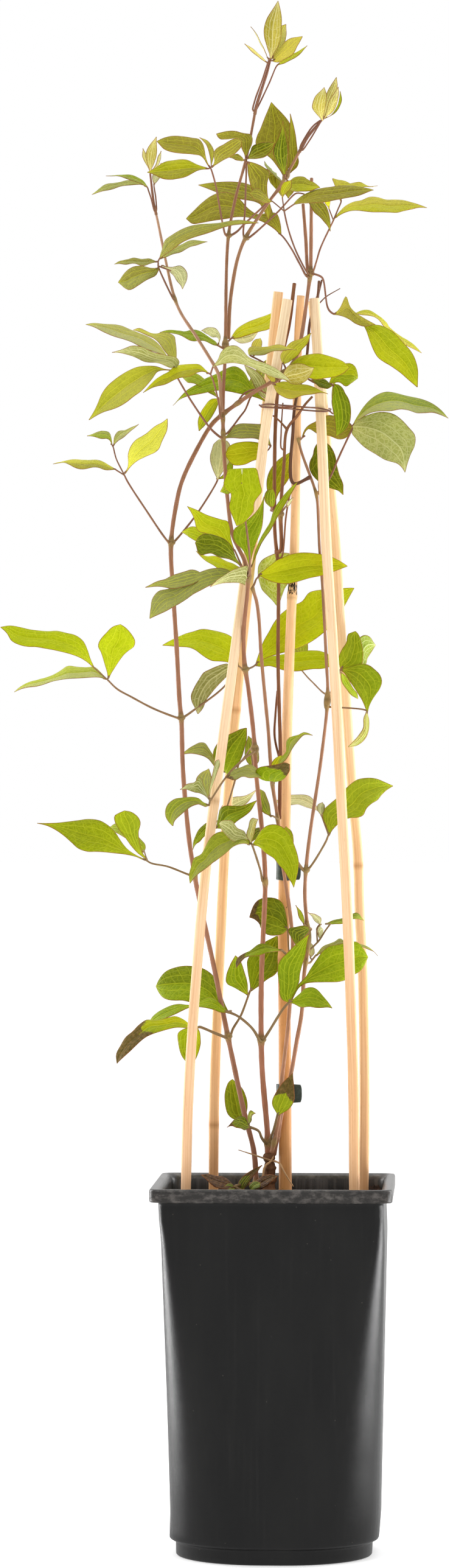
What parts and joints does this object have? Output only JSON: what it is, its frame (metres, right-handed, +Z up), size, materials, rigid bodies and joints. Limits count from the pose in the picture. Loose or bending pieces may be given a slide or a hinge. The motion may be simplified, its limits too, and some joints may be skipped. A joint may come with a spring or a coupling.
{
  "type": "potted clematis on bamboo stakes",
  "caption": "Climbing clematis with green leaflets on thin brown stems, trained up bent bamboo stakes and a cane in a square black nursery pot.",
  "frame": {"origin": "middle of the flat underside of the pot", "axes": "+Z up along the height, -Y the front seen by the viewer, +X to the viewer's right"},
  "size_m": [0.2762, 0.1548, 0.9739],
  "materials": {
    "pot_plastic": "moulded, finely textured, slightly glossier rim",
    "potting_soil": "dark crumbly peat and bark fines",
    "stake_bamboo": "split bamboo, pale, fine fibres",
    "cane_bamboo": "natural cane skin, satin, dark specks",
    "band_plastic": "green-black, satin",
    "tie_coating": "brown coated wire",
    "crown_bark": "rough, fibrous",
    "stem_bark": "ribbed, reddish brown",
    "old_bark": "dry, dark, ribbed",
    "shoot_green": "soft, thin, slightly hairy",
    "dead_leaf": "dry, curled",
    "leaf_green": "thin, veined, semi-matt, lighter beneath"
  },
  "bodies": {
    "root": {"pot": "pot_plastic", "soil": "potting_soil", "pole_front_left": "stake_bamboo", "pole_back_left": "stake_bamboo", "pole_front_right": "stake_bamboo", "pole_back_right": "stake_bamboo", "centre_cane": "cane_bamboo", "cane_band_upper": "band_plastic", "cane_band_lower": "band_plastic", "tie_wire": "tie_coating", "root_crown": "crown_bark", "stem_left": "stem_bark", "stem_main": "stem_bark", "stem_main_branch": "stem_bark", "stem_left_branch": "stem_bark", "stem_right": "stem_bark", "stem_middle": "stem_bark", "stem_old_wood": "old_bark", "shoot_tip_main": "shoot_green", "shoot_tip_branch": "shoot_green", "shoot_tip_left": "shoot_green", "leaf_between_stakes": "leaf_green", "leaf_cluster_branch_top": "leaf_green", "leaf_cluster_middle_stem": "leaf_green", "leaf_cluster_right_low": "leaf_green", "leaf_cluster_tie": "leaf_green", "leaf_cluster_tie_right": "leaf_green", "leaf_cross_hanging": "leaf_green", "leaf_cross_left": "leaf_green", "leaf_cross_right": "leaf_green", "leaf_left_at_tie": "leaf_green", "leaf_left_branch": "leaf_green", "leaf_left_lower": "leaf_green", "leaf_left_of_tie": "leaf_green", "leaf_main_at_tie": "leaf_green", "leaf_main_left": "leaf_green", "leaf_middle_stem": "leaf_green", "leaf_pair_at_crown": "leaf_green", "leaf_pair_branch_fork": "leaf_green", "leaf_pair_left_base": "leaf_green", "leaf_pair_left_middle": "leaf_green", "leaf_pair_left_upper": "leaf_green", "leaf_pair_main_base": "leaf_green", "leaf_pair_main_fork": "leaf_green", "leaf_pair_main_large": "leaf_green", "leaf_pair_main_lower": "leaf_green", "leaf_pair_main_middle": "leaf_green", "leaf_pair_main_upper": "leaf_green", "leaf_pair_middle_low": "leaf_green", "leaf_pair_right_lower": "leaf_green", "leaf_pair_right_middle": "leaf_green", "leaf_right_large": "leaf_green", "leaf_right_narrow": "leaf_green", "leaf_right_top": "leaf_green", "leaf_right_upper": "leaf_green", "leaf_stub": "leaf_green", "leaf_top_shoot_left": "leaf_green", "leaf_top_shoot_right": "leaf_green", "leaves_on_soil": "dead_leaf"}
  },
  "joints": []
}
